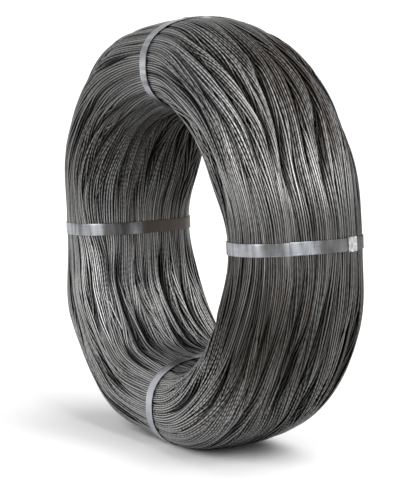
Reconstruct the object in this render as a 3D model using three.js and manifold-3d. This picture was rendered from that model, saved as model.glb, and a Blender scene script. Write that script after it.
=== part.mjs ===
// A coil of wire rod standing on its rim: one winding, held by four steel straps, each locked
// by a crimped seal. Millimetres, +Z up. The coil's axis is parallel to Y, its width is centred
// on Y = 0, and the origin is on the floor below its centre.
import * as THREE from "three";
import { mergeVertices } from "three/addons/utils/BufferGeometryUtils.js";
import Module from "manifold-3d";

const { clamp, degToRad, euclideanModulo, lerp, radToDeg, smoothstep } = THREE.MathUtils;

// The winding, midway between two straps
const outerDiameter = 657;
const boreDiameter = 396;
const windingWidth = 216;
const windingSquareness = 3.6; // exponent of its rounded section: 2 is an ellipse
const endFlat = 0.8; // what the press took off the proudest crest of each end

// The rods run in strands, which drift across the section on their way round the ring: each
// wave goes through its cycles round the ring, and through its twists once round the section
const strandCount = 34;
const strandWander = 9;
const drifts = [
  { cycles: 3, twists: 1, share: 1 },
  { cycles: 2, twists: -3, share: 0.6 },
];

// The valleys between the strands, which deepen and fade on their way: each swell goes through
// its cycles round the ring, and is a phase further on from one valley to the next
const valleyDepth = 6.5;
const valleyLevel = 0.4; // of the depth, without the swells
const valleySwing = 0.6; // of the depth, with each swell
const valleyMost = 1.6;
const swells = [
  { cycles: 2, phase: 2.4 },
  { cycles: 5, phase: 4.1 },
  { cycles: 7, phase: 1.3 },
];
const valleyReach = 3; // to each side, and more by the widening for each millimetre of depth
const valleyWidening = 0.3;
const valleyTightness = 0.2; // what a strap leaves of a valley
const calmReach = 12; // degrees beside a strap in which the valleys close
const crestPlace = 0.4; // of a strand's width, from each of its sides to a crest

// Creases, where strands have parted. Each is the valley before one strand. Its course gives
// degrees round the ring, hundredths of the way round the section, and the depth.
const creaseLead = 38; // degrees over which a strand is led to its crease
const creases = [
  { strand: 4, course: [[46, 8.8, 7], [56, 9, 9], [70, 11.6, 7]] },
  {
    strand: 7,
    course: [
      [-33, 23.2, 6], [-2, 22, 8], [8, 20.4, 8], [20, 20.9, 10], [36, 18.3, 10], [44, 15.9, 9],
      [54, 14.9, 9], [66, 15.5, 8],
    ],
  },
  { strand: 8, course: [[-33, 25.7, 2], [28, 24.3, 3], [38, 22.3, 7], [58, 20.2, 4]] },
  {
    strand: 10,
    course: [
      [-30, 30.5, 7], [-16, 29.6, 9], [-2, 29.5, 7], [8, 31.3, 8], [24, 31.3, 11], [36, 29.4, 10],
      [54, 28, 8], [62, 25.8, 9], [80, 26, 7],
    ],
  },
  {
    strand: 12,
    course: [
      [-28, 35.2, 6], [-6, 34.4, 4], [22, 34.2, 3], [38, 32.4, 10], [48, 33.5, 12], [58, 34.4, 11],
      [76, 37, 7],
    ],
  },
  { strand: 14, course: [[-28, 41, 6], [-4, 40.5, 6], [40, 42.2, 7], [54, 44.4, 8]] },
  { strand: 16, course: [[42, 48.3, 7], [60, 49, 9], [86, 48.5, 7]] },
  { strand: 19, course: [[104, 57.3, 5], [120, 57.5, 7], [150, 53.8, 7], [164, 52.4, 5]] },
  { strand: 20, course: [[112, 61.3, 5], [132, 60.2, 7], [172, 55.2, 4]] },
  {
    strand: 22,
    course: [
      [112, 66.3, 4], [150, 66, 4], [186, 65.8, 10], [228, 65.2, 9], [262, 63, 8], [276, 61.7, 10],
      [286, 61.2, 8],
    ],
  },
  { strand: 27, course: [[186, 78.4, 11], [208, 78.6, 12], [250, 79, 8]] },
];

// The waist, where a strap draws the rods into a rounder bundle
const waistRimSwell = 6;
const waistBoreSwell = 6.5;
const waistEndDraw = 5.2;
const waistSquareness = 2.4;
const waistReach = 29; // degrees of the ring on each side of a strap

// The rim gives where it carries the coil's weight
const settlement = 8;

// Strapping
const strapWidth = 19;
const strapThickness = 0.8;
const tailLength = 96; // of the outer ply, past its seal
const heelLength = 26; // of the inner ply, past its seal
const rampLength = 16; // over which a ply climbs onto what lies under it
const rampClear = 1; // from the end of a ramp to what it has climbed
const sealLength = 18;
const sealThickness = 1;
const sealLegReach = 5; // how far each leg folds in under the strap
const crimpWidth = 3;
const crimpSpacing = 10;
const fitGap = 0.3; // between the metal faces of strap and seal
const bearingGap = 0.5; // between the rods and the strap or seal that bears on them

// Each strap's place round the ring is in degrees from +X towards +Z. Its seal's place is a
// share of the path round the section: 0 is the back end, 0.25 the rim, 0.5 the front end and
// 0.75 the bore. The stretch is what lies between this strap and the next: how far the
// winding stands out from its nominal size at the rim, into the bore and in width, and how far
// it leans along the axis.
const straps = [
  { name: "right", angle: 4.3, sealAt: 0.153, stretch: { rim: -5, bore: 1, width: -2, lean: -1 } },
  { name: "top", angle: 93.5, sealAt: 0.11, stretch: { rim: 9, bore: 7, width: -2, lean: 0 } },
  { name: "left", angle: 184.1, sealAt: 0.143, stretch: { rim: 7, bore: -3, width: 2, lean: -4 } },
  {
    name: "bottom", angle: 270, sealAt: 0.86, onFloor: true,
    stretch: { rim: -4, bore: -4, width: 2, lean: 0.5 },
  },
];

// Facets
const facetsPerStretch = 14;
const facetsPerStrap = 48;
const pointsPerStrand = 3; // a valley and two crests

const facets = facetsPerStretch * straps.length;
const halfFacet = Math.PI / facets;
const rimRadius = outerDiameter / 2;
const boreRadius = boreDiameter / 2;
const centreHeight = rimRadius + waistRimSwell - settlement;

// The planes of the two ends, which the proudest stretch of each sets
const proudest = (side) => (
  Math.max(...straps.map(({ stretch }) => (windingWidth + stretch.width) / 2 + side * stretch.lean))
);
const frontPlane = -(proudest(-1) - endFlat);
const backPlane = proudest(1) - endFlat;

const rodSteel = new THREE.MeshStandardMaterial({ color: 0x4b4a49, roughness: 0.45, metalness: 0.85 });
const strapSteel = new THREE.MeshStandardMaterial({ color: 0x9d9c9a, roughness: 0.35, metalness: 0.9 });
const sealSteel = new THREE.MeshStandardMaterial({ color: 0xb0afac, roughness: 0.35, metalness: 0.9 });

// The outline of the winding cut through its axis: x is the distance from the axis, y is along
// it. It runs from the back end over the rim, the front end and the bore. Its rim may be
// flattened at a limit.
class SectionCurve extends THREE.Curve {
  constructor({ rim, bore, width, lean, squareness, limit = Infinity }) {
    super();
    Object.assign(this, { rim, bore, width, lean, squareness, limit });
    this.arcLengthDivisions = 720;
  }

  getPoint(t, target = new THREE.Vector2()) {
    const across = Math.cos(2 * Math.PI * t);
    const out = Math.sin(2 * Math.PI * t);
    const n = this.squareness;
    const reach = (Math.abs(across) ** n + Math.abs(out) ** n) ** (-1 / n);
    const radius = (this.rim + this.bore) / 2 + ((this.rim - this.bore) / 2) * out * reach;
    return target.set(Math.min(radius, this.limit), this.lean + (this.width / 2) * across * reach);
  }

  // The point a given way off the outline, outwards
  offsetPoint(t, offset) {
    const tangent = this.getTangent(t);
    return this.getPoint(t).add(new THREE.Vector2(-tangent.y, tangent.x).multiplyScalar(offset));
  }
}

const nominal = {
  rim: rimRadius, bore: boreRadius, width: windingWidth, lean: 0, squareness: windingSquareness,
};
const nominalOutline = new SectionCurve(nominal);
const girth = nominalOutline.getLength();
const waist = {
  rim: rimRadius + waistRimSwell,
  bore: boreRadius - waistBoreSwell,
  width: windingWidth - 2 * waistEndDraw,
  lean: 0,
  squareness: waistSquareness,
};

// A place round the ring, counted in facets from the first strap: its angle, its distance from
// the nearest strap in facets, what that strap leaves of a valley, and its section, which is
// full between the straps and drawn in towards each of them. The facet under a strap is all
// waist.
function placeOnRing(count) {
  const index = Math.floor(count / facetsPerStretch) % straps.length;
  const along = (count % facetsPerStretch) / facetsPerStretch;
  const from = straps[index].angle;
  const to = index + 1 < straps.length ? straps[index + 1].angle : straps[0].angle + 360;
  const fromStrap = Math.min(along, 1 - along) * facetsPerStretch;
  const facetAngle = (to - from) / facetsPerStretch;
  const reach = waistReach / facetAngle - 0.5;
  const fullness = (1 - Math.cos(Math.PI * clamp((fromStrap - 0.5) / reach, 0, 1))) / 2;
  const looseness = 1 - Math.exp(-((((fromStrap - 0.5) * facetAngle) / calmReach) ** 2));
  const { rim, bore, width, lean } = straps[index].stretch;
  const full = {
    rim: rimRadius + rim, bore: boreRadius - bore, width: windingWidth + width, lean,
    squareness: windingSquareness,
  };
  const mix = Object.keys(full).map((key) => [key, lerp(waist[key], full[key], fullness)]);
  return {
    angle: degToRad(lerp(from, to, along)),
    fromStrap,
    tightness: lerp(valleyTightness, 1, looseness),
    section: new SectionCurve(Object.fromEntries(mix)),
  };
}

// Shared corners become one vertex, which leaves a closed body
function weld(geometry) {
  geometry.deleteAttribute("normal");
  geometry.deleteAttribute("uv");
  return mergeVertices(geometry, 1e-4);
}

// The values of a row of [place, value, ...] entries at a place between two of them
function valuesAt(entries, place) {
  const values = entries.map((entry) => entry.slice(1));
  const places = entries.map(([first]) => first);
  return new THREE.LinearInterpolant(places, values.flat(), values[0].length).evaluate(place);
}

// What a crease does to its strand at an angle of the ring: its share in where the strand is, how
// far it pulls the strand from its place, and how deep it is
function creaseAt({ strand, course }, angle, place) {
  const first = course[0][0];
  const last = course[course.length - 1][0];
  const middle = (first + last) / 2;
  const at = middle + euclideanModulo(radToDeg(angle) - middle + 180, 360) - 180;
  const beyond = clamp(Math.max(first - at, at - last) / creaseLead, 0, 1);
  const share = (1 + Math.cos(Math.PI * beyond)) / 2;
  const [hundredths, depth] = valuesAt(course, at);
  return { strand, share, pull: share * (hundredths / 100 - place), depth };
}

// Where each strand starts on the way round the section, and how deep the valley there is, at an
// angle of the ring. The strands between two creases share their pull.
function valleysAt(angle, tightness) {
  const valleys = Array.from({ length: strandCount }, (_, k) => {
    const home = k / strandCount;
    const drift = drifts.reduce((sum, { cycles, twists, share }) => (
      sum + share * Math.sin(cycles * angle + twists * 2 * Math.PI * home)
    ), 0);
    const swell = swells.reduce((sum, { cycles, phase }) => sum + Math.sin(cycles * angle + phase * k), 0);
    return {
      place: home + (strandWander * drift) / girth,
      depth: valleyDepth * clamp(valleyLevel + valleySwing * swell, 0, valleyMost),
    };
  });
  const pulls = [];
  for (const crease of creases) {
    const valley = valleys[crease.strand];
    const { strand, share, pull, depth } = creaseAt(crease, angle, valley.place);
    valley.depth = lerp(valley.depth, depth, share ** 2);
    pulls.push([strand, pull]);
  }
  const [first, last] = [pulls[0], pulls[pulls.length - 1]];
  pulls.unshift([last[0] - strandCount, last[1]]);
  pulls.push([first[0] + strandCount, first[1]]);
  return valleys.map(({ place, depth }, k) => ({
    place: place + valuesAt(pulls, k)[0],
    depth: depth * tightness,
  }));
}

// The places of a profile's points round the section and how far each is sunk: for each strand
// its valley and two crests, which the valleys beside them draw down a little
function profileAt(angle, tightness) {
  const valleys = valleysAt(angle, tightness);
  const [start] = valleys;
  valleys.push({ ...start, place: start.place + 1 });
  return valleys.slice(0, strandCount).flatMap((valley, k) => {
    const next = valleys[k + 1];
    const width = (next.place - valley.place) * girth;
    const sunk = ({ depth }, distance) => (
      depth * Math.exp(-((distance / (valleyReach + valleyWidening * depth)) ** 2))
    );
    return [0, crestPlace, 1 - crestPlace].map((share) => ({
      place: valley.place + (share * width) / girth,
      sunk: sunk(valley, share * width) + sunk(next, (1 - share) * width),
    }));
  });
}

// The winding: its outline turned about the axis, and each station of that turning then given
// the section of its place, with the strands where they have drifted to
function windingGeometry() {
  const profileSize = strandCount * pointsPerStrand;
  const geometry = new THREE.LatheGeometry(nominalOutline.getSpacedPoints(profileSize), facets);
  for (let i = 0; i <= facets; i += 1) {
    const { angle, fromStrap, tightness, section } = placeOnRing((i % facets) + 0.5);
    const lowest = -centreHeight + (fromStrap < 1 ? strapThickness + bearingGap : 0);
    profileAt(angle, tightness).forEach(({ place, sunk }, j, { length }) => {
      const point = section.offsetPoint(section.getUtoTmapping(euclideanModulo(place, 1)), -sunk);
      const y = clamp(point.y, frontPlane, backPlane);
      const z = Math.max(point.x * Math.sin(angle), lowest);
      for (const column of j === 0 ? [0, length] : [j]) {
        geometry.attributes.position.setXYZ(i * (profileSize + 1) + column, point.x * Math.cos(angle), y, z);
      }
    });
  }
  return weld(geometry);
}

// The path that a strap takes: the waist's outline on the flat of the facet under the strap,
// flattened by the floor where the coil stands on it
function strapPath(onFloor) {
  return new SectionCurve({
    ...waist,
    rim: waist.rim * Math.cos(halfFacet),
    bore: waist.bore * Math.cos(halfFacet),
    limit: onFloor ? centreHeight - strapThickness - bearingGap : Infinity,
  });
}

// Distances along a path: the given places, and the steps of its facets between them
function stations(path, from, to, places = []) {
  const pitch = path.getLength() / facetsPerStrap;
  const closest = pitch / 12; // a step that lies nearer to a given place is left out
  const given = [from, to, ...places.filter((d) => d > from && d < to)];
  const steps = Array.from({ length: Math.ceil((to - from) / pitch) }, (_, k) => (
    (Math.ceil(from / pitch) + k) * pitch
  ));
  const clear = steps.filter((step) => step < to && given.every((d) => Math.abs(d - step) > closest));
  return [...given, ...clear].sort((a, b) => a - b);
}

// A strip of metal that follows a path. Its lower and upper faces' heights above the path are
// functions of the distance along it.
function ribbon(path, distances, lower, upper, width) {
  const length = path.getLength();
  const at = (distance, height) => {
    const t = path.getUtoTmapping(((distance / length) % 1 + 1) % 1);
    return path.offsetPoint(t, height);
  };
  const under = distances.map((d) => at(d, lower(d)));
  const over = distances.map((d) => at(d, upper(d))).reverse();
  const shape = new THREE.Shape([...under, ...over]);
  const geometry = new THREE.ExtrudeGeometry(shape, { depth: width, bevelEnabled: false });
  return geometry.translate(0, 0, -width / 2);
}

// How high the strap's inner face rides at a distance along its path: on the rods, over its
// own heel on the second lap, and lifted at the seal, whose legs pass under it
function strapHeight(path, sealCentre) {
  const lap = path.getLength();
  const heelEnd = lap + sealCentre - sealLength / 2 - heelLength;
  return (distance) => {
    const climbed = smoothstep(distance, heelEnd - rampLength, heelEnd - rampClear);
    const sealDistance = Math.min(Math.abs(distance - sealCentre), Math.abs(distance - lap - sealCentre));
    const past = sealDistance - sealLength / 2;
    const lifted = 1 - smoothstep(past, rampClear, rampLength);
    return bearingGap + climbed * (strapThickness + fitGap) + lifted * (sealThickness + fitGap);
  };
}

function strapGeometry(path, sealCentre) {
  const lap = path.getLength();
  const from = sealCentre - sealLength / 2 - heelLength;
  const to = lap + sealCentre + sealLength / 2 + tailLength;
  const sealEnds = [sealCentre - sealLength / 2, sealCentre + sealLength / 2];
  const places = [...sealEnds, ...sealEnds.map((d) => d + lap), lap + from - rampLength, lap + from];
  const height = strapHeight(path, sealCentre);
  const distances = stations(path, from, to, places);
  return weld(ribbon(path, distances, height, (d) => height(d) + strapThickness, strapWidth));
}

const wasm = await Module();
wasm.setup();

function toSolid(geometry) {
  const { attributes, index } = weld(geometry);
  const vertProperties = attributes.position.array;
  return new wasm.Manifold(new wasm.Mesh({ numProp: 3, vertProperties, triVerts: index.array }));
}

function toGeometry(solid) {
  const mesh = solid.getMesh();
  const geometry = new THREE.BufferGeometry();
  geometry.setAttribute("position", new THREE.BufferAttribute(mesh.vertProperties, 3));
  geometry.setIndex(new THREE.BufferAttribute(mesh.triVerts, 1));
  return geometry;
}

// The seal: a sleeve folded round both plies, open between the edges of its legs, with two
// crimps punched into each of its sides
function sealGeometry(path, sealCentre) {
  const insideLow = bearingGap + sealThickness;
  const insideHigh = insideLow + 2 * strapThickness + 3 * fitGap;
  const top = insideHigh + sealThickness;
  const insideWidth = strapWidth + 2 * fitGap;
  const width = insideWidth + 2 * sealThickness;
  const from = sealCentre - sealLength / 2;
  const to = sealCentre + sealLength / 2;
  const over = sealThickness / 2; // a cutter runs this far past what it cuts
  const bar = (start, end, low, high, breadth) => (
    toSolid(ribbon(path, stations(path, start, end), () => low, () => high, breadth))
  );
  let sleeve = bar(from, to, bearingGap, top, width)
    .subtract(bar(from - over, to + over, insideLow, insideHigh, insideWidth))
    .subtract(bar(from - over, to + over, 0, insideLow + over, insideWidth - 2 * sealLegReach));
  for (const side of [-1, 1]) {
    const centre = sealCentre + (side * crimpSpacing) / 2;
    const crimp = [centre - crimpWidth / 2, centre + crimpWidth / 2, 0, top - sealThickness / 2];
    sleeve = sleeve.subtract(bar(...crimp, width + over).subtract(bar(...crimp, insideWidth)));
  }
  return toGeometry(sleeve);
}

function piece(name, geometry, material) {
  const mesh = new THREE.Mesh(geometry, material);
  mesh.name = name;
  return mesh;
}

const coil = new THREE.Group();
coil.position.set(0, -(frontPlane + backPlane) / 2, centreHeight);
coil.add(piece("rod_winding", windingGeometry(), rodSteel));
for (const { name, angle, sealAt, onFloor } of straps) {
  const path = strapPath(onFloor);
  const sealCentre = sealAt * path.getLength();
  const band = new THREE.Group();
  band.rotation.y = -degToRad(angle);
  band.add(piece(`strap_${name}`, strapGeometry(path, sealCentre), strapSteel));
  band.add(piece(`seal_${name}`, sealGeometry(path, sealCentre), sealSteel));
  coil.add(band);
}

export default coil;
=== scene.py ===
# A coil of wire rod standing on its rim: real turns of rod over a dark heart, held by four
# steel straps with crimped seals. Metres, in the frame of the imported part.
import math

import bmesh
import bpy
import numpy as np
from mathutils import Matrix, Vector


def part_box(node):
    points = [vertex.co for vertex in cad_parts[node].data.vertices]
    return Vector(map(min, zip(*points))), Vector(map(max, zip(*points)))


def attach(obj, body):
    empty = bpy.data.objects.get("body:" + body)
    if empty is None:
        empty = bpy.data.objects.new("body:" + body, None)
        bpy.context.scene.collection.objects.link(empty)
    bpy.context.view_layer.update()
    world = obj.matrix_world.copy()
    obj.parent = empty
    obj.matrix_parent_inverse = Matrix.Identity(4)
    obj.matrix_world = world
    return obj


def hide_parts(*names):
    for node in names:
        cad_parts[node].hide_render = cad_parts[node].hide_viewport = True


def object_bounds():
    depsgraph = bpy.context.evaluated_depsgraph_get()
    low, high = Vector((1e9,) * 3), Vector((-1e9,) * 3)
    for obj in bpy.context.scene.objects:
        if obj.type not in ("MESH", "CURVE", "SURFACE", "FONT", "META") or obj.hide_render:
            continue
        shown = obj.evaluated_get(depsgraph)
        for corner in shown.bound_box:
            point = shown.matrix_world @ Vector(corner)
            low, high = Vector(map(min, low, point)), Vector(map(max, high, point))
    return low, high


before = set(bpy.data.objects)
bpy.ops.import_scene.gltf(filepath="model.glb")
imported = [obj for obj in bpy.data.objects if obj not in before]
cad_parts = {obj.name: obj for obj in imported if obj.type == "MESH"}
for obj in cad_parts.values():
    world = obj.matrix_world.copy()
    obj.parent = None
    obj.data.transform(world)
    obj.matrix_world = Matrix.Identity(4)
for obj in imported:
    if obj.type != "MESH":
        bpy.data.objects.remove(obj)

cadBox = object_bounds()

coil = {
    "rim": 0.3285, "bore": 0.198, "width": 0.216, "squareness": 3.6,
    "waistRimSwell": 0.006, "waistBoreSwell": 0.0065, "waistEndDraw": 0.0052, "waistSquareness": 2.4,
    "waistReach": 29,          # degrees of the ring on each side of a strap
    "facet": 3.2,              # half of the ring's stretch that a strap lies on, in degrees
    "axisHeight": 0.3265,
    "flattened": 0.9,          # where the rim points down by more than this, the floor flattens it
    "strapRoom": 3.3,          # degrees on each side of the bottom strap that leave room for it
    "straps": {"right": 4.3, "top": 93.5, "left": 184.1, "bottom": 270.0},   # degrees round the ring
    "stretches": [             # between one strap and the next, what stands out of round
        {"rim": -0.005, "bore": 0.001, "width": -0.002, "lean": -0.001},
        {"rim": 0.009, "bore": 0.007, "width": -0.002, "lean": 0.0},
        {"rim": 0.007, "bore": -0.003, "width": 0.002, "lean": -0.004},
        {"rim": -0.004, "bore": -0.004, "width": 0.002, "lean": 0.0005},
    ],
    "outlinePoints": 720, "finePoints": 2880,   # of a section of the winding, and of a strap's line
}
strapLow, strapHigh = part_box("strap_right")
ringCentre = Vector((0, (strapLow[1] + strapHigh[1]) / 2, coil["axisHeight"]))
strapAngles = np.array(list(coil["straps"].values()))


def besideStraps(degrees):
    # how far each place round the ring is from the nearest strap, in degrees
    return np.min(np.abs((degrees[:, None] - strapAngles + 180) % 360 - 180), axis=1)


def looseness(near, calm):
    # 0 at a strap and 1 far from it
    return 1 - np.exp(-(near / calm) ** 2)


def squeezed(share, loose):
    # how much the straps leave: this share under a strap, and all of it far from one
    return share + (1 - share) * loose


def smooth(x, low, high):
    # 0 up to low, 1 from high on, and an even climb between them
    t = np.clip((x - low) / (high - low), 0, 1)
    return t * t * (3 - 2 * t)


def waistSection():
    # rim, bore, width and squareness under a strap
    return (coil["rim"] + coil["waistRimSwell"], coil["bore"] - coil["waistBoreSwell"],
            coil["width"] - 2 * coil["waistEndDraw"], coil["waistSquareness"])


def sectionAt(degrees):
    # rim, bore, width, squareness and lean of the winding at a place round the ring
    after = (degrees - strapAngles[0]) % 360
    starts = (strapAngles - strapAngles[0]) % 360
    index = int(np.searchsorted(starts, after, side="right")) - 1
    ends = np.append(starts[1:], 360)
    near = min(after - starts[index], ends[index] - after)
    clear = np.clip((near - coil["facet"]) / (coil["waistReach"] - coil["facet"]), 0, 1)
    fullness = (1 - math.cos(math.pi * clear)) / 2
    stretch = coil["stretches"][index]
    full = (coil["rim"] + stretch["rim"], coil["bore"] - stretch["bore"],
            coil["width"] + stretch["width"], coil["squareness"], stretch["lean"])
    return [w + (f - w) * fullness for w, f in zip((*waistSection(), 0), full)]


def roundedSection(rim, bore, width, squareness, points):
    # a rounded section: the distances of its points from the axis, and their places along it
    turn = np.linspace(0, 2 * np.pi, points + 1)
    across, out = np.cos(turn), np.sin(turn)
    reach = (np.abs(across) ** squareness + np.abs(out) ** squareness) ** (-1 / squareness)
    return (rim + bore) / 2 + (rim - bore) / 2 * out * reach, width / 2 * across * reach


def measured(radius, axial):
    # a closed line with its outward normal, and how far along it each point is
    along = np.concatenate([[0], np.cumsum(np.hypot(np.diff(radius), np.diff(axial)))])
    tangent = np.stack([np.gradient(radius), np.gradient(axial)])
    tangent /= np.linalg.norm(tangent, axis=0)
    return radius, axial, -tangent[1], tangent[0], along


def outlineAt(degrees):
    # the measured outline of the winding's section at a place round the ring
    *section, lean = sectionAt(degrees)
    radius, axial = roundedSection(*section, coil["outlinePoints"])
    down = -math.sin(math.radians(degrees))
    if down > coil["flattened"]:
        onStrap = abs(degrees - coil["straps"]["bottom"]) < coil["strapRoom"]
        room = strap["thickness"] + strap["bearingGap"] if onStrap else 0
        radius = np.minimum(radius, (coil["axisHeight"] - room) / down)
    return measured(radius, lean + axial)


def placesOn(line, distances):
    # radius, place along the axis and outward normal at these distances along a measured line
    *values, along = line
    return [np.interp(distances, along, each) for each in values]


def onRing(degrees, radius, axial):
    # a point of the part's frame from its place round the ring and in the section
    angle = np.radians(degrees)
    return np.stack([radius * np.cos(angle) + ringCentre.x, axial + ringCentre.y,
                     radius * np.sin(angle) + ringCentre.z], axis=-1)


def addMesh(name, points, faces, uv=None, marks=None):
    # a smooth piece; its marks are numbers that the points carry to the material
    mesh = bpy.data.meshes.new(name)
    mesh.from_pydata(points.reshape(-1, 3), [], faces.reshape(-1, 4))
    if uv is not None:
        mesh.uv_layers.new(name="OFBake").uv.foreach_set("vector", uv.ravel().astype(np.float32))
    for key, values in (marks or {}).items():
        mark = mesh.attributes.new(key, "FLOAT", "POINT")
        mark.data.foreach_set("value", values.ravel().astype(np.float32))
    mesh.shade_smooth()
    piece = bpy.data.objects.new(name, mesh)
    bpy.context.collection.objects.link(piece)
    return piece


def gridFaces(rows, columns, closed=True):
    # the corners of each face of a grid: its columns meet, and so do its rows if it is closed
    row = np.arange(rows if closed else rows - 1)[:, None]
    column = np.arange(columns)[None, :]
    nextRow, nextColumn = (row + 1) % rows, (column + 1) % columns
    corners = [(row, column), (row, nextColumn), (nextRow, nextColumn), (nextRow, column)]
    return np.stack(np.broadcast_arrays(*[r * columns + c for r, c in corners]), -1)


strands = {
    "count": 34, "wander": 0.009,
    "drifts": [(3, 1, 1.0), (2, -3, 0.6)],   # cycles round the ring, twists round the section, share
    "depth": 0.0065, "fill": 0.4, "swing": 0.6, "most": 1.6,
    "valleyReach": 0.003, "valleyWidening": 0.3,
    "swells": [(2, 2.4), (5, 4.1), (7, 1.3)],   # cycles round the ring, and the phase from one to the next
    "calm": 12,                # degrees beside a strap in which the valleys close
    "tight": 0.2,              # share of a valley that is left under a strap
    "lead": 38,                # degrees before and after a crease in which its strand is led to it
    # creases, by the strand that starts there: degrees round the ring, hundredths of the girth,
    # and depth in millimetres
    "creases": {
        4: [(46, 8.8, 7), (56, 9.0, 9), (70, 11.6, 7)],
        7: [(-33, 23.2, 6), (-2, 22.0, 8), (8, 20.4, 8), (20, 20.9, 10), (36, 18.3, 10), (44, 15.9, 9),
            (54, 14.9, 9), (66, 15.5, 8)],
        8: [(-33, 25.7, 2), (28, 24.3, 3), (38, 22.3, 7), (58, 20.2, 4)],
        10: [(-30, 30.5, 7), (-16, 29.6, 9), (-2, 29.5, 7), (8, 31.3, 8), (24, 31.3, 11), (36, 29.4, 10),
             (54, 28.0, 8), (62, 25.8, 9), (80, 26.0, 7)],
        12: [(-28, 35.2, 6), (-6, 34.4, 4), (22, 34.2, 3), (38, 32.4, 10), (48, 33.5, 12), (58, 34.4, 11),
             (76, 37.0, 7)],
        14: [(-28, 41.0, 6), (-4, 40.5, 6), (40, 42.2, 7), (54, 44.4, 8)],
        16: [(42, 48.3, 7), (60, 49.0, 9), (86, 48.5, 7)],
        19: [(104, 57.3, 5), (120, 57.5, 7), (150, 53.8, 7), (164, 52.4, 5)],
        20: [(112, 61.3, 5), (132, 60.2, 7), (172, 55.2, 4)],
        22: [(112, 66.3, 4), (150, 66.0, 4), (186, 65.8, 10), (228, 65.2, 9), (262, 63.0, 8),
             (276, 61.7, 10), (286, 61.2, 8)],
        27: [(186, 78.4, 11), (208, 78.6, 12), (250, 79.0, 8)],
    },
}
nominalRadius, nominalAxial = roundedSection(
    coil["rim"], coil["bore"], coil["width"], coil["squareness"], coil["finePoints"])
nominalGirth = np.hypot(np.diff(nominalRadius), np.diff(nominalAxial)).sum()


def strandsAt(degrees):
    # where the strands start round the girth, one row for each, and how deep the valleys are
    count = strands["count"]
    number = np.arange(count)[:, None]
    home = number / count
    angle = np.radians(degrees)[None, :]
    drift = sum(share * np.sin(cycles * angle + twists * 2 * np.pi * home)
                for cycles, twists, share in strands["drifts"])
    place = home + strands["wander"] / nominalGirth * drift
    swell = sum(np.sin(cycles * angle + phase * number) for cycles, phase in strands["swells"])
    depth = strands["depth"] * np.clip(strands["fill"] + strands["swing"] * swell, 0, strands["most"])
    pulled, pulls = [], []
    for strand, course in strands["creases"].items():
        angles, places, depths = np.array(course).T
        middle = (angles[0] + angles[-1]) / 2
        at = middle + (degrees - middle + 180) % 360 - 180
        beyond = np.maximum(angles[0] - at, at - angles[-1])
        led = (1 + np.cos(np.pi * np.clip(beyond / strands["lead"], 0, 1))) / 2
        pulled.append(strand)
        pulls.append(led * (np.interp(at, angles, places / 100) - place[strand]))
        depth[strand] += led ** 2 * (np.interp(at, angles, depths / 1000) - depth[strand])
    # the strands between two creases share their pull
    pulled = np.array([pulled[-1] - count] + pulled + [pulled[0] + count])
    pulls = np.array([pulls[-1]] + pulls + [pulls[0]])
    for i in range(len(degrees)):
        place[:, i] += np.interp(np.arange(count), pulled, pulls[:, i])
    loose = looseness(np.clip(besideStraps(degrees) - coil["facet"], 0, None), strands["calm"])
    depth *= squeezed(strands["tight"], loose)
    return np.vstack([place, place[:1] + 1]), np.vstack([depth, depth[:1]])


turns = {
    "diameter": 0.0040, "sides": 5, "slices": 156, "pieces": 5,
    "pitch": 0.00405, "layerStep": 0.0035,   # between neighbours, and from one layer down to the next
    # the bundles of the two outer layers, one for each strand
    "twists": (-2, 3),         # times that a bundle turns about itself in one turn of the ring
    "strapTwist": 0.1,         # how fast it does so under a strap; far from one this is 1 more
    "bundleFill": (0.8, 1.05),   # its turns fill these shares of its mean and its widest width, added
    "bundleMargin": 0.04,      # share of its width that is free at each edge
    "dipping": 2.5,            # how steeply a turn dips from the outer layer to the one below
    "crown": 0.0008,           # how far the edges of a bundle lie below its middle
    # the bundles of the straighter layer below: how unequal they are, the least share of the mean
    # that one keeps, and the places round the girth between which they share a wander
    "deepBundles": 17, "deepSizes": (0.6, 1.4), "deepLeast": 0.4, "sharedPlaces": 7,
    # wanders round the ring: how far, in how many cycles at most, and how fast the quick ones fade
    "sharedDrift": (0.010, 3, 1.0), "bundleDrift": (0.0085, 6, 0.5), "ownDrift": (0.0013, 14, 0.25),
    "strayDrift": (0.007, 7, 0.4), "dive": (0.0010, 4, 0.6), "ownDive": (0.0007, 9, 0.3),
    "strapDrift": 0.4, "strapDive": 0.3,     # shares of bundleDrift and ownDive left under a strap
    "unevenness": 0.0007,      # of the places side by side
    "strays": 0.03,            # share of the turns that climb out of their bundle
    "calm": 20,                # degrees beside a strap in which the turns are squeezed into order
    "strapClearance": 0.0004, "clearanceReach": 4,   # below a strap, and over how many degrees
    "rounds": 80, "roofRounds": 10,          # of settling, and from one new roof to the next
    "firstSlack": 0.0003,      # how much deeper a turn may lie before it settles
    "neighbours": 8,           # on each side, that a turn may touch
    "push": 0.4, "sidePush": 0.6,   # share of an overlap by which each gives way, and of that sideways
    "spring": 0.06,            # share of the way back to its own place in each round
    "stiffness": 0.3, "stiffRounds": 2,      # how far a turn is evened out, and how often in a round
    "bakeMargin": 0.06,        # share of a rod's strip of the map that is free at each edge
    "seed": 7,
}


class Ring:
    # the slices of the ring in which the turns are laid
    def __init__(self):
        self.degrees = strapAngles[0] + np.arange(turns["slices"]) * 360 / turns["slices"]
        self.outlines = [outlineAt(d) for d in self.degrees]
        lengths = np.array([along[-1] for *_, along in self.outlines])
        self.girth = np.median(lengths)
        self.scale = lengths / self.girth
        self.near = besideStraps(self.degrees)
        self.loose = looseness(self.near, turns["calm"])
        edges, self.valley = strandsAt(self.degrees)
        self.edges = edges * self.girth


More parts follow.
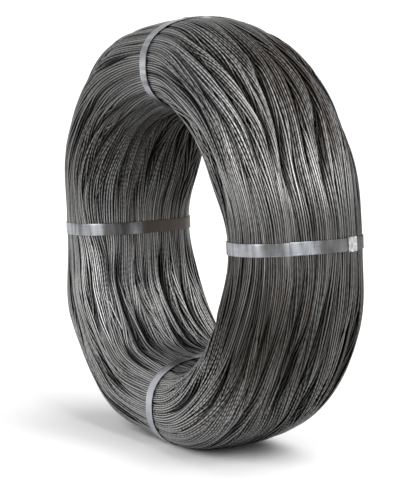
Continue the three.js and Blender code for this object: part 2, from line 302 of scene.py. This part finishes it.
def waves(rng, ring, rows, wander):
    # smooth random wander round the ring, one row for each
    size, cycles, slope = wander
    cycle = np.arange(1, cycles + 1)
    strength = rng.normal(size=(2, rows, cycles)) / cycle ** slope
    strength /= np.sqrt((1 / cycle ** (2 * slope)).sum())
    angle = np.radians(ring.degrees)[None, :] * cycle[:, None]
    return size * (strength[0] @ np.cos(angle) + strength[1] @ np.sin(angle))


def bundleTurns(rng, ring):
    # the two outer layers, in bundles that turn about themselves
    progress = np.cumsum(ring.loose + turns["strapTwist"])
    progress /= progress[-1]
    dive = waves(rng, ring, strands["count"], turns["dive"]) * ring.loose
    forMean, forWidest = turns["bundleFill"]
    fewest, most = turns["twists"]
    margin = turns["bundleMargin"]
    for k in range(strands["count"]):
        span = ring.edges[k + 1] - ring.edges[k]
        number = max(3, round((forMean * span.mean() + forWidest * span.max()) / turns["pitch"]))
        twist = rng.integers(fewest, most + 1)
        phase = (np.arange(number)[:, None] / number + twist * progress + rng.uniform()) % 1
        place = 1 - np.abs(2 * phase - 1)
        under = 0.5 - 0.5 * np.clip(np.sin(2 * np.pi * phase) * turns["dipping"], -1, 1)
        across = ring.edges[k] + (margin + (1 - 2 * margin) * place) * span
        yield across, under * turns["layerStep"] + dive[k]


def deepEdges(rng, ring, shared):
    # the edges of the bundles of the layer below, which wander but keep their order
    count, places = turns["deepBundles"], len(shared)
    sizes = rng.uniform(*turns["deepSizes"], count)
    home = np.sort((np.cumsum(sizes) / sizes.sum() + rng.uniform()) % 1)
    at = home * places
    low = np.floor(at).astype(int) % places
    mix = ((1 - np.cos(np.pi * (at % 1))) / 2)[:, None]
    edge = home[:, None] * ring.girth + shared[low] * (1 - mix) + shared[(low + 1) % places] * mix
    edge += waves(rng, ring, count, turns["bundleDrift"]) * squeezed(turns["strapDrift"], ring.loose)
    least = turns["deepLeast"] * ring.girth / count
    for _ in range(turns["rounds"]):
        gap = np.roll(edge, -1, 0) - edge
        gap[-1] += ring.girth
        push = np.clip(least - gap, 0, None) / 2
        edge += np.roll(push, 1, 0) - push
    return np.vstack([edge, edge[:1] + ring.girth])


def deepTurns(rng, ring, shared):
    # the straighter layer below the two outer ones
    edges = deepEdges(rng, ring, shared)
    for k in range(turns["deepBundles"]):
        span = edges[k + 1] - edges[k]
        number = max(2, round(span.mean() / turns["pitch"]))
        place = (np.arange(number) + 0.5) / number
        yield edges[k] + place[:, None] * span, np.full((number, turns["slices"]), 2 * turns["layerStep"])


def planTurns(rng, ring):
    # where each turn would lie by itself: its place across the girth, and its depth
    shared = waves(rng, ring, turns["sharedPlaces"], turns["sharedDrift"])
    bundles = [*bundleTurns(rng, ring), *deepTurns(rng, ring, shared)]
    across, wanted = [np.vstack(rows) for rows in zip(*bundles)]
    count = len(across)
    across += turns["unevenness"] * rng.normal(size=(count, 1))
    across += waves(rng, ring, count, turns["ownDrift"]) * ring.loose
    wanted += waves(rng, ring, count, turns["ownDive"]) * squeezed(turns["strapDive"], ring.loose)
    stray = rng.uniform(size=count) < turns["strays"]
    across[stray] += waves(rng, ring, int(stray.sum()), turns["strayDrift"]) * ring.loose
    wanted[stray] -= turns["layerStep"] * ring.loose
    return across, turns["diameter"] / 2 + wanted


def roofOver(ring, across):
    # the least depth at each place: in the valleys, at the edges of the bundles and under the straps
    roof = np.zeros_like(across)
    for i in range(turns["slices"]):
        line = ring.edges[:, i]
        at = line[0] + (across[:, i] - line[0]) % ring.girth
        k = np.clip(np.searchsorted(line, at, side="right") - 1, 0, len(line) - 2)
        left, right = at - line[k], line[k + 1] - at
        for deep, away in ((ring.valley[k, i], left), (ring.valley[k + 1, i], right)):
            reach = strands["valleyReach"] + strands["valleyWidening"] * deep
            roof[:, i] += deep * np.exp(-(away / reach) ** 2)
        roof[:, i] += turns["crown"] * ring.loose[i] * (2 * left / (left + right) - 1) ** 2
    underStrap = np.exp(-(ring.near / turns["clearanceReach"]) ** 2)
    return roof + turns["diameter"] / 2 + turns["strapClearance"] * underStrap


def partNeighbours(ring, across, depth):
    # turns that overlap push each other apart, in the order in which they lie round the girth
    place = across % ring.girth
    order = np.argsort(place, axis=0)
    x, z = np.take_along_axis(place, order, 0), np.take_along_axis(depth, order, 0)
    moveX, moveZ = np.zeros_like(x), np.zeros_like(z)
    for k in range(1, turns["neighbours"] + 1):
        dx = ((np.roll(x, -k, 0) - x) % ring.girth) * ring.scale
        dz = np.roll(z, -k, 0) - z
        away = np.hypot(dx, dz) + 1e-6      # never quite 0
        push = np.clip(turns["diameter"] - away, 0, None) * turns["push"]
        pushX, pushZ = push * dx / away * turns["sidePush"], push * dz / away
        moveX += np.roll(pushX, k, 0) - pushX
        moveZ += np.roll(pushZ, k, 0) - pushZ
    np.put_along_axis(across, order, np.take_along_axis(across, order, 0) + moveX, 0)
    np.put_along_axis(depth, order, z + moveZ, 0)


def stiffened(line):
    # rod bends slowly: each place is drawn to the middle between the two beside it
    share = turns["stiffness"]
    for _ in range(turns["stiffRounds"]):
        line = line * (1 - share) + share * (np.roll(line, 1, 1) + np.roll(line, -1, 1)) / 2
    return line


def layTurns(rng, ring):
    # the place of each turn across the girth and its depth, once they have settled
    across, wanted = planTurns(rng, ring)
    planned = across.copy()
    roof = roofOver(ring, across)
    depth = np.maximum(roof, wanted) + rng.uniform(0, turns["firstSlack"], across.shape)
    for n in range(1, turns["rounds"] + 1):
        partNeighbours(ring, across, depth)
        across += turns["spring"] * (planned - across)
        depth += turns["spring"] * (np.maximum(roof, wanted) - depth)
        across, depth = stiffened(across), stiffened(depth)
        if n % turns["roofRounds"] == 0:
            roof = roofOver(ring, across)
        depth = np.maximum(depth, roof)
    return across, depth


def bakeMap(rods):
    # a strip of the map for each rod, which runs along it
    slices, sides, margin = turns["slices"], turns["sides"], turns["bakeMargin"]
    first = np.broadcast_to(np.arange(slices)[:, None], (slices, sides))
    side = np.broadcast_to(np.arange(sides), (slices, sides))
    u = np.stack([first, first, first + 1, first + 1], -1) / slices
    v = np.stack([side, side + 1, side + 1, side], -1) / sides
    v = (np.arange(rods)[:, None, None, None] + margin + (1 - 2 * margin) * v) / rods
    return np.stack(np.broadcast_arrays(u, v), -1)


def buildTurns():
    rng = np.random.default_rng(turns["seed"])
    ring = Ring()
    across, depth = layTurns(rng, ring)
    seeds = rng.uniform(0, 1, len(across))
    middle, outward = np.empty((*across.shape, 2)), np.empty((*across.shape, 2))
    for i, line in enumerate(ring.outlines):
        distances = (across[:, i] % ring.girth) / ring.girth * line[-1][-1]
        radius, axial, outRadial, outAxial = placesOn(line, distances)
        outward[:, i] = np.stack([outRadial, outAxial], -1)
        middle[:, i] = np.stack([radius, axial], -1) - outward[:, i] * depth[:, i, None]
    slices, sides, thick = turns["slices"], turns["sides"], turns["diameter"] / 2
    # the first corner of each rod is its crest, which faces out of the winding
    corner = np.arange(sides) * 2 * np.pi / sides
    out, aside = np.cos(corner), np.sin(corner)
    made = []
    for n, some in enumerate(np.array_split(np.argsort(depth.mean(1)), turns["pieces"])):
        outRadial, outAxial = outward[some, :, :1], outward[some, :, 1:]
        radius = middle[some, :, :1] + thick * (outRadial * out - outAxial * aside)
        axial = middle[some, :, 1:] + thick * (outAxial * out + outRadial * aside)
        points = onRing(ring.degrees[None, :, None], radius, axial)
        points[..., 1] = np.clip(points[..., 1], cadBox[0][1], cadBox[1][1])
        points[..., 2] = np.maximum(points[..., 2], cadBox[0][2])
        faces = np.arange(len(some))[:, None, None, None] * slices * sides + gridFaces(slices, sides)
        marks = {"turnSeed": seeds[some][:, None, None], "sunk": depth[some][:, :, None], "crest": out,
                 "across": across[some][:, :, None], "loose": ring.loose[None, :, None]}
        marks = {key: np.broadcast_to(values, points.shape[:3]) for key, values in marks.items()}
        made.append(addMesh(f"rod_turns_{n + 1}", points, faces, bakeMap(len(some)), marks))
    print("turns laid:", len(across), "deepest", round(float(depth.max()), 4))
    return made


heart = {"slices": 120, "points": 120, "depth": 0.0135}   # how deep it lies in the winding


def buildHeart():
    # the plain body that shows between the turns; it carries none of their marks, so the rod finish gives
    # it the painted shade colour all over
    slices, points = heart["slices"], heart["points"]
    grid = np.empty((slices, points, 3))
    for i in range(slices):
        degrees = i * 360 / slices
        line = outlineAt(degrees)
        radius, axial, outRadial, outAxial = placesOn(line, np.arange(points) / points * line[-1][-1])
        grid[i] = onRing(degrees, radius - outRadial * heart["depth"], axial - outAxial * heart["depth"])
    return addMesh("rod_heart", grid, gridFaces(slices, points))


strap = {
    "width": 0.019, "thickness": 0.0008, "bearingGap": 0.0005, "fitGap": 0.0003,
    "tail": 0.096, "heel": 0.026,          # of the outer ply and of the inner ply, past the seal
    "ramp": 0.016, "rampClear": 0.001,     # over which a ply climbs onto what lies under it
    # share of the way round the section
    "sealAt": {"right": 0.153, "top": 0.11, "left": 0.143, "bottom": 0.86},
    "step": 0.0022, "edgeRound": 0.00028,
    "edgeCut": 0.3,                        # share of edgeRound, in the middle of the rounding
    "sharpAngle": 38,                      # in degrees; an edge that bends more is left sharp
    "crimped": 0.8,                        # share of a crimp's depth by which its edges close in
    "ripple": 0.00010,                     # where it rides over single turns
    "ripples": [(23, 1.0), (37, 0.8), (61, 0.6), (97, 0.35)],   # how many in a round, and their share
    "skew": 0.0011,                        # how far the loose tail stands out of line
    "seed": 31,
    # stretches of the path, as shares of it: from, to, how much brighter in painted light and shade and
    # how brown in rust and painted shade
    "tones": {
        "right": [(0.080, 0.140, -0.3, 1.0), (0.160, 0.247, 0, 0.55), (0.250, 0.280, 0.2, 0),
                  (0.345, 0.405, -0.22, 0.2), (0.450, 0.485, 0.2, 0), (0.600, 0.950, 0, 0.7)],
        "top": [(0.300, 0.445, -0.06, 0), (0.470, 0.525, 0.3, 0), (0.620, 0.950, 0, 0.7)],
        "left": [(0.583, 0.614, 0.7, 0), (0.618, 0.690, 0, 0.68), (0.690, 0.722, 0.05, 0),
                 (0.722, 0.950, -0.3, 1.0)],
        "bottom": [(0.020, 0.300, 0, 0.5), (0.360, 0.510, 0.95, 0), (0.510, 0.640, 0.75, 0)],
    },
    "fade": (0.18, 0.02),                  # of a stretch's ends: share of its length, and the most
}
seal = {
    "length": 0.018, "thickness": 0.001, "legReach": 0.005, "cornerRound": 0.0006,
    "crimpWidth": 0.003, "crimpSpacing": 0.010, "crimpDepth": 0.0016,
    "crimpFade": 0.62,                     # half of a crimp's reach, as a share of its width
    "bite": 0.0006, "biteFrom": 0.62,      # how far a crimp sinks its corners, and from where across
    "flare": 0.00025, "flareReach": 0.0015,   # how far the mouth of the sleeve opens, and over what
    "step": 0.0005,
}


class StrapPath:
    # the line that a strap lies on: the waist's outline on the flat under the strap
    def __init__(self, name):
        self.angle = math.radians(coil["straps"][name])
        radius, axial = roundedSection(*waistSection(), coil["finePoints"])
        radius = math.cos(math.radians(coil["facet"])) * radius
        if name == "bottom":
            radius = np.minimum(radius, coil["axisHeight"] - strap["thickness"] - strap["bearingGap"])
        self.line = measured(radius, axial)
        self.length = self.line[-1][-1]
        self.sealCentre = strap["sealAt"][name] * self.length
        self.sealEnd = self.length + self.sealCentre + seal["length"] / 2   # on the second lap
        self.heelStart = self.sealCentre - seal["length"] / 2 - strap["heel"]

    def place(self, distance, height, side):
        # a point that lies height above the line and side to the side of it
        radius, axial, outRadial, outAxial = placesOn(self.line, np.asarray(distance) % self.length)
        radius, axial = radius + outRadial * height, axial + outAxial * height
        return np.stack([
            radius * math.cos(self.angle) - side * math.sin(self.angle) + ringCentre.x,
            axial + ringCentre.y + 0 * side,
            radius * math.sin(self.angle) + side * math.cos(self.angle) + ringCentre.z], -1)

    def fromSeal(self, distance):
        # how far it is to the middle of the seal, on the first lap or the second
        return np.minimum(np.abs(distance - self.sealCentre),
                          np.abs(distance - self.length - self.sealCentre))

    def height(self, distance):
        # of the strap's inner face: on the turns, over its own heel, and lifted at the seal
        heelAgain = self.length + self.sealCentre - seal["length"] / 2 - strap["heel"]
        climbed = smooth(distance, heelAgain - strap["ramp"], heelAgain - strap["rampClear"])
        pastSeal = self.fromSeal(distance) - seal["length"] / 2
        lifted = 1 - smooth(pastSeal, strap["rampClear"], strap["ramp"])
        return (strap["bearingGap"] + climbed * (strap["thickness"] + strap["fitGap"])
                + lifted * (seal["thickness"] + strap["fitGap"]))

    def crimped(self, distance):
        # 1 at a crimp and 0 away from them
        away = self.fromSeal(distance) - seal["crimpSpacing"] / 2
        return np.clip(1 - (away / (seal["crimpWidth"] * seal["crimpFade"])) ** 2, 0, 1) ** 2


def sweep(path, name, distances, sides, heights, marks=None):
    # a closed body from a row of closed profiles along the path, with its two ends capped
    points = path.place(distances[:, None], heights, sides)
    points[..., 2] = np.maximum(points[..., 2], cadBox[0][2])
    rows, columns = sides.shape
    piece = addMesh(name, points, gridFaces(rows, columns, closed=False), marks=marks)
    mesh = bmesh.new()
    mesh.from_mesh(piece.data)
    mesh.verts.ensure_lookup_table()
    mesh.faces.new([mesh.verts[i] for i in range(columns)][::-1])
    mesh.faces.new([mesh.verts[(rows - 1) * columns + i] for i in range(columns)])
    bmesh.ops.recalc_face_normals(mesh, faces=mesh.faces)
    mesh.to_mesh(piece.data)
    mesh.free()
    piece.data.set_sharp_from_angle(angle=math.radians(strap["sharpAngle"]))
    return piece


def strapProfile():
    # the strap's section from its inner face round: side and height of each corner
    half, thick, edge = strap["width"] / 2, strap["thickness"], strap["edgeRound"]
    cut = strap["edgeCut"] * edge
    inner = np.array([-1, -0.5, 0, 0.5, 1]) * (half - edge)
    profile = [(w, 0) for w in inner]
    profile += [(half - cut, cut), (half, edge), (half, thick - edge), (half - cut, thick - cut)]
    profile += [(w, thick) for w in inner[::-1]]
    profile += [(-half + cut, thick - cut), (-half, thick - edge), (-half, edge), (-half + cut, cut)]
    return np.array(profile).T


def strapTones(name, place):
    # how much painted light and shade, and how much brown of rust and painted shade, a strap has at each
    # share of its path
    bright, brown = np.zeros_like(place), np.zeros_like(place)
    share, most = strap["fade"]
    for low, high, brighter, browner in strap["tones"][name]:
        fade = min(share * (high - low), most)
        here = smooth(place, low - fade, low + fade) * (1 - smooth(place, high - fade, high + fade))
        bright += brighter * here
        brown += browner * here
    return bright, brown


def buildStrap(name, rng):
    path = StrapPath(name)
    start, end = path.heelStart, path.sealEnd + strap["tail"]
    distances = np.linspace(start, end, round((end - start) / strap["step"]))
    side, up = strapProfile()
    # the edges close in at the crimps, and the loose tail runs a little out of line
    crimp = path.crimped(distances)[:, None] * strap["crimped"]
    past = smooth(distances, path.sealEnd, end)[:, None]
    sides = side[None, :] * (1 - crimp * seal["crimpDepth"] / (strap["width"] / 2)) + strap["skew"] * past
    lap = distances % path.length
    ripple = np.zeros_like(lap)
    for cycle, size in strap["ripples"]:
        ripple += size * np.sin(2 * np.pi * (cycle * lap / path.length + rng.uniform()))
    ripple = strap["ripple"] * np.clip(ripple, 0, None)
    heights = path.height(distances)[:, None] + ripple[:, None] + up[None, :]
    # painted light and shade along the strap, and brown that is partly rust, partly painted shade
    bright, brown = strapTones(name, lap / path.length)
    marks = {"along": distances[:, None], "across": side[None, :], "bright": bright[:, None],
             "brown": brown[:, None]}
    marks = {key: np.broadcast_to(values, sides.shape) for key, values in marks.items()}
    return sweep(path, f"strap_band_{name}", distances, sides, heights, marks)


def sealProfile():
    # the folded strip from one leg's edge round over the top to the other: outside, then inside
    sheet, gap, inner = seal["thickness"], strap["fitGap"], strap["width"] / 2 + strap["fitGap"]
    low = strap["bearingGap"]
    top = low + sheet + 2 * strap["thickness"] + 3 * gap + sheet
    outer, leg, bend = inner + sheet, inner - seal["legReach"], seal["cornerRound"]
    right = [(leg, low), ((leg + outer) / 2, low)]
    for a in np.radians([0, 30, 60, 90]):
        right.append((outer - bend + bend * math.sin(a), low + bend - bend * math.cos(a)))
    for a in np.radians([0, 30, 60, 90]):
        right.append((outer - bend + bend * math.cos(a), top - bend + bend * math.sin(a)))
    overTop = [(outer * share, top) for share in (0.6, 0.3, 0, -0.3, -0.6)]
    left = [(-w, h) for w, h in right[::-1]]
    under, floor = top - sheet, low + sheet
    inside = [(-leg, floor), (-inner, floor), (-inner, under), (-inner / 2, under), (0, under),
              (inner / 2, under), (inner, under), (inner, floor), (leg, floor)]
    return np.array(right + overTop + left + inside).T, outer, low, top


def buildSeal(name):
    path = StrapPath(name)
    (side, high), outer, low, top = sealProfile()
    half, sheet = seal["length"] / 2, seal["thickness"]
    distances = path.sealCentre + np.linspace(-half, half, round(seal["length"] / seal["step"]))
    crimp = path.crimped(distances)[:, None]
    closeIn = np.abs(side[None, :]) / outer
    sides = side[None, :] * (1 - crimp * seal["crimpDepth"] / outer * closeIn ** 3)
    bite = crimp * smooth(closeIn, seal["biteFrom"], 1.0) * seal["bite"]
    mouth = smooth(np.abs(distances - path.sealCentre), half - seal["flareReach"], half)[:, None]
    heights = (high[None, :] - bite * (high[None, :] > low + sheet)
               + mouth * seal["flare"] * (high[None, :] > top - 1.5 * sheet))
    return sweep(path, f"seal_band_{name}", distances, sides, heights)


class Shade:
    # a socket of a node tree; sums and products of shades add the Math nodes they need
    def __init__(self, tree, socket=None):
        self.tree, self.socket = tree, socket

    def put(self, node, inputs):
        for name, value in inputs.items():
            if isinstance(value, Shade):
                self.tree.links.new(value.socket, node.inputs[name])
            else:
                node.inputs[name].default_value = value

    def add(self, kind, inputs, output=0, **settings):
        node = self.tree.nodes.new("ShaderNode" + kind)
        for name, value in settings.items():
            setattr(node, name, value)
        self.put(node, inputs)
        return Shade(self.tree, node.outputs[output])

    def math(self, operation, *terms, clamp=False):
        return self.add("Math", dict(enumerate(terms)), operation=operation, use_clamp=clamp)

    def __add__(self, other):
        return self.math("ADD", self, other)

    __radd__ = __add__

    def __sub__(self, other):
        return self.math("SUBTRACT", self, other)

    def __rsub__(self, other):
        return self.math("SUBTRACT", other, self)

    def __mul__(self, other):
        return self.math("MULTIPLY", self, other)

    __rmul__ = __mul__

    def clamped(self):
        return self.math("ADD", self, 0, clamp=True)

    def marks(self, *names):
        # the numbers that the points of the piece carry
        return [self.add("Attribute", {}, output="Fac", attribute_name=name) for name in names]

    def noise(self, place, scale, detail=2, roughness=0.5):
        return self.add("TexNoise", {
            "Vector": place, "Scale": scale, "Detail": detail, "Roughness": roughness})

    def vector(self, x, y, z):
        return self.add("CombineXYZ", {"X": x, "Y": y, "Z": z})

    def distance(self, first, second):
        return self.add("VectorMath", {0: first, 1: second}, output="Value", operation="DISTANCE")

    def mixColour(self, factor, first, second):
        return self.add("Mix", {0: factor, 6: first, 7: second}, output=2, data_type="RGBA")

    def bump(self, height, look):
        # a finish that can be felt, as strong and as high as its look says
        inputs = {"Height": height, "Strength": look["bump"], "Distance": look["bumpHeight"]}
        return self.add("Bump", inputs, output="Normal")


def finish(name, **plain):
    # a material with its plain values set on the shader's own sockets
    material = bpy.data.materials.new(name)
    material.use_nodes = True
    shader = material.node_tree.nodes["Principled BSDF"]
    for socket, value in plain.items():
        shader.inputs[socket.replace("_", " ")].default_value = value
    return material, Shade(material.node_tree), shader


rodFinish = {
    "dark": (0.050, 0.048, 0.046, 1), "light": (0.49, 0.489, 0.487, 1),
    # the last colour is the painted shade between the turns and in the creases
    "brown": (0.088, 0.068, 0.051, 1), "paintedShade": (0.008, 0.007, 0.0065, 1),
    "roughness": 0.35, "metallic": 0.9,
    "streak": 26,                  # about how many streaks there are round the ring
    # painted glints in dashes: how many round the ring, how many they step on in a metre across the rods,
    # and how bright they are
    "dash": 150, "stagger": 112, "dashing": 0.75,
    "flank": (0.38, 1.0),          # from this cosine off the crest to that one a turn loses its painted shade
    "sunk": (0.0034, 0.0100, 0.92),   # from this depth to that one a turn darkens by this share, in painted shade
    # painted highlights, painted light with brighter glint dashes, and painted shade in which the rust
    # is also stronger: the middle of each place, how far it reaches and how strong it is in the middle
    "paintedHighlights": [((0.28, -0.07, 0.45), 0.16, 0.20), ((0.17, -0.11, 0.53), 0.20, 0.60),
                 ((-0.26, -0.10, 0.19), 0.30, 1.10), ((-0.09, -0.04, 0.14), 0.13, 1.10),
                 ((0.262, -0.108, 0.41), 0.08, 0.50), ((0.298, 0.0, 0.46), 0.065, 0.44)],
    "paintedLight": [((0.075, -0.09, 0.04), 0.18, 2.50), ((0.19, -0.108, 0.15), 0.09, 0.80),
              ((0.25, -0.04, 0.10), 0.11, 0.70)],
    "rustAndPaintedShade": [((0.27, -0.06, 0.18), 0.30, 1.00), ((-0.17, 0.05, 0.45), 0.24, 1.00),
               ((0.17, 0.03, 0.62), 0.13, 1.20), ((0.255, 0.07, 0.53), 0.12, 0.90),
               ((0.275, -0.06, 0.50), 0.085, 0.52)],
    "grain": 900, "bump": 0.2, "bumpHeight": 0.0004,
}


def rodMaterial():
    material, shade, shader = finish("rod_steel", Metallic=rodFinish["metallic"])
    seed, crest, sunk, across, loose = shade.marks("turnSeed", "crest", "sunk", "across", "loose")
    along = shade.add("SeparateXYZ", {"Vector": shade.add("UVMap", {}, uv_map="OFBake")}, output="X")
    here = shade.add("TexCoord", {}, output="Object")
    # places of painted highlight, painted light and painted shade, by where they lie on the coil
    paintedHighlights, paintedLight, rustAndPaintedShade = [
        sum((1 - shade.distance(here, middle) * (1 / reach)).clamped() * strength
            for middle, reach, strength in rodFinish[kind])
        for kind in ("paintedHighlights", "paintedLight", "rustAndPaintedShade")]
    # drawn steel in long streaks, with short dashes of painted glint where the turns lie loose
    streak = shade.noise(shade.vector(along * rodFinish["streak"] + seed * 41, seed * 97, 0), 1, 3, 0.6)
    beat = along * rodFinish["dash"] + across * rodFinish["stagger"] + seed * 0.8 + streak * 3
    dash = shade.math("ABSOLUTE", shade.math("SINE", beat * math.pi)) - 0.64
    slack = (0.15 + 0.85 * loose + paintedLight * 0.4).clamped()
    patchy = ((shade.noise(here, 9, 1) - 0.3 + paintedLight * 0.1) * 3).clamped()
    dash = dash * (patchy * slack * (1 - paintedHighlights * 0.6))
    # the dashes add painted glints to the steel's level
    level = streak * 1.1 + seed * 0.5 - 0.42 + dash * rodFinish["dashing"]
    # painted light raises the steel's level and painted shade lowers it
    paintedShine = paintedHighlights + paintedLight
    level = (level * (1 + paintedShine * 0.5 - rustAndPaintedShade * 0.5) + paintedShine * 0.25 - rustAndPaintedShade * 0.2).clamped()
    colour = shade.mixColour(level, rodFinish["dark"], rodFinish["light"])
    # brown where it began to rust
    brown = shade.noise(shade.vector(along * 9, seed * 51, 3), 1)
    brown = (((brown - 0.45) * 3).clamped() * (0.25 + rustAndPaintedShade)).clamped()
    colour = shade.mixColour(brown, colour, rodFinish["brown"])
    # painted shade between the turns and in the creases
    low, high = rodFinish["flank"]
    unshaded = ((crest - low) * (1 / (high - low))).clamped()
    low, high, share = rodFinish["sunk"]
    sunkShade = ((sunk - low) * (1 / (high - low))).clamped() * share
    colour = shade.mixColour(unshaded * (1 - sunkShade), rodFinish["paintedShade"], colour)
    rough = rodFinish["roughness"] + (streak - 0.5) * 0.25 + dash * 0.1
    bump = shade.bump(shade.noise(here, rodFinish["grain"]), rodFinish)
    shade.put(shader, {"Base Color": colour, "Roughness": rough, "Normal": bump})
    return material


strapFinish = {
    "bright": (0.405, 0.42, 0.445, 1), "grey": (0.127, 0.132, 0.138, 1),
    "brown": (0.046, 0.038, 0.031, 1), "roughness": 0.34, "metallic": 0.92,
    "grain": 600, "bump": 0.25, "bumpHeight": 0.0003,
}


def strapMaterial():
    material, shade, shader = finish("strap_steel", Metallic=strapFinish["metallic"])
    along, across, bright, brown = shade.marks("along", "across", "bright", "brown")
    here = shade.add("TexCoord", {}, output="Object")
    # zinc that lies in bands across the strap, with fine lines along it
    bands = shade.noise(shade.vector(along * 95, across * 18, 0), 1, 3, 0.55)
    wide = shade.noise(shade.vector(along * 22, across * 5, 4), 1)
    lines = shade.noise(shade.vector(along * 30, across * 1500, 0), 1)
    # the marked stretches add painted light and shade to the zinc's level
    level = ((bands - 0.5) * 1.9 + (wide - 0.5) * 2.2 + (lines - 0.5) * 0.7 + 0.36 + bright).clamped()
    colour = shade.mixColour(level, strapFinish["grey"], strapFinish["bright"])
    # the brown stretches are partly rust, partly painted shade
    rustAndShade = (brown * (0.75 + wide * 0.5)).clamped()
    colour = shade.mixColour(rustAndShade, colour, strapFinish["brown"])
    rough = strapFinish["roughness"] + (bands - 0.5) * 0.3 + brown * 0.08
    bump = shade.bump(lines + shade.noise(here, strapFinish["grain"]) * 0.6, strapFinish)
    shade.put(shader, {"Base Color": colour, "Roughness": rough, "Normal": bump})
    return material


sealFinish = {
    "bright": (0.62, 0.63, 0.64, 1), "grey": (0.26, 0.26, 0.26, 1), "roughness": 0.3, "metallic": 0.9,
    "spangles": 260, "blotches": 190, "bump": 0.35, "bumpHeight": 0.0004,
}


def sealMaterial():
    material, shade, shader = finish("seal_steel", Metallic=sealFinish["metallic"])
    here = shade.add("TexCoord", {}, output="Object")
    spangle = shade.add("TexVoronoi", {"Vector": here, "Scale": sealFinish["spangles"]},
                        output="Color", feature="F1")
    blotch = shade.noise(here, sealFinish["blotches"], 3, 0.6)
    level = shade.add("RGBToBW", {"Color": spangle}) * 0.9 + (blotch - 0.5) * 1.6 + 0.05
    colour = shade.mixColour(level.clamped(), sealFinish["grey"], sealFinish["bright"])
    rough = sealFinish["roughness"] + (blotch - 0.5) * 0.3
    bump = shade.bump(blotch, sealFinish)
    shade.put(shader, {"Base Color": colour, "Roughness": rough, "Normal": bump})
    return material


def dress(piece, steel, node):
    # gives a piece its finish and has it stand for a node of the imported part
    piece.data.materials.append(steel)
    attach(piece, "root")
    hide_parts(node)


rodSteel, strapSteel, sealSteel = rodMaterial(), strapMaterial(), sealMaterial()
for piece in buildTurns():
    dress(piece, rodSteel, "rod_winding")
dress(buildHeart(), rodSteel, "rod_winding")
print("heart built")
strapRng = np.random.default_rng(strap["seed"])
for name in coil["straps"]:
    dress(buildStrap(name, strapRng), strapSteel, f"strap_{name}")
    dress(buildSeal(name), sealSteel, f"seal_{name}")
print("straps and seals built")

studio = {
    # the camera: where it stands, and where in its frame the middle of the coil lies, in pixels
    "azimuth": 60.6, "elevation": 8.72, "distance": 4.038, "focalPixels": 2607.6,
    "aim": (207.2, 234.0), "frame": (420, 500), "sensor": 36, "sight": 100,
    "floorColour": (0.95, 0.95, 0.95, 1), "floorRoughness": 0.8, "floorSize": 60,
    "ambient": 0.30,
    # lamps: where they stand, how strong they are and how wide, in degrees
    "lampDistance": 3,
    "lamps": {
        "key": {"azimuth": 100, "elevation": 42, "strength": 1.4, "spread": 30},
        "back": {"azimuth": 155, "elevation": 66, "strength": 1.9, "spread": 60},
        "front": {"azimuth": 18, "elevation": 36, "strength": 1.8, "spread": 35},
    },
}


def towards(azimuth, elevation):
    # the direction from the coil to a lamp or the camera
    a, e = math.radians(azimuth), math.radians(elevation)
    return Vector((math.sin(a) * math.cos(e), -math.cos(a) * math.cos(e), math.sin(e)))


def buildFloor():
    bpy.ops.mesh.primitive_plane_add(size=studio["floorSize"])
    floor = bpy.context.object
    floor.name = "floor"
    colour, rough = studio["floorColour"], studio["floorRoughness"]
    floor.data.materials.append(finish("floor_white", Base_Color=colour, Roughness=rough)[0])


def buildLight():
    # the world is white to the eye and in reflections, and gives the coil a soft light
    world = bpy.data.worlds.new("studio")
    bpy.context.scene.world = world
    world.use_nodes = True
    shade = Shade(world.node_tree)
    seen, mirrored, through = [shade.add("LightPath", {}, output=ray) for ray in (
        "Is Camera Ray", "Is Glossy Ray", "Is Transmission Ray")]
    strength = studio["ambient"] + (seen + mirrored + through).clamped() * (1 - studio["ambient"])
    shade.put(world.node_tree.nodes["Background"], {"Color": (1, 1, 1, 1), "Strength": strength})
    for name, lamp in studio["lamps"].items():
        sun = bpy.data.lights.new(name, "SUN")
        sun.energy = lamp["strength"]
        sun.angle = math.radians(lamp["spread"])
        stand = bpy.data.objects.new(name, sun)
        light = towards(lamp["azimuth"], lamp["elevation"])
        stand.location = ringCentre + light * studio["lampDistance"]
        stand.rotation_euler = (-light).to_track_quat("-Z", "Y").to_euler()
        bpy.context.collection.objects.link(stand)


def buildCamera():
    back = towards(studio["azimuth"], studio["elevation"])
    camera = bpy.data.cameras.new("camera")
    eye = bpy.data.objects.new("camera", camera)
    bpy.context.collection.objects.link(eye)
    eye.location = ringCentre + back * studio["distance"]
    eye.rotation_euler = (-back).to_track_quat("-Z", "Y").to_euler()
    wide, high = studio["frame"]
    camera.sensor_fit = "VERTICAL"
    camera.sensor_height = studio["sensor"]
    camera.lens = studio["focalPixels"] / high * camera.sensor_height
    camera.shift_x = (wide / 2 - studio["aim"][0]) / high
    camera.shift_y = (studio["aim"][1] - high / 2) / high
    camera.clip_end = studio["sight"]
    bpy.context.scene.camera = eye
    bpy.context.scene.view_settings.view_transform = "Standard"


buildFloor()
buildLight()
buildCamera()
print("studio built")
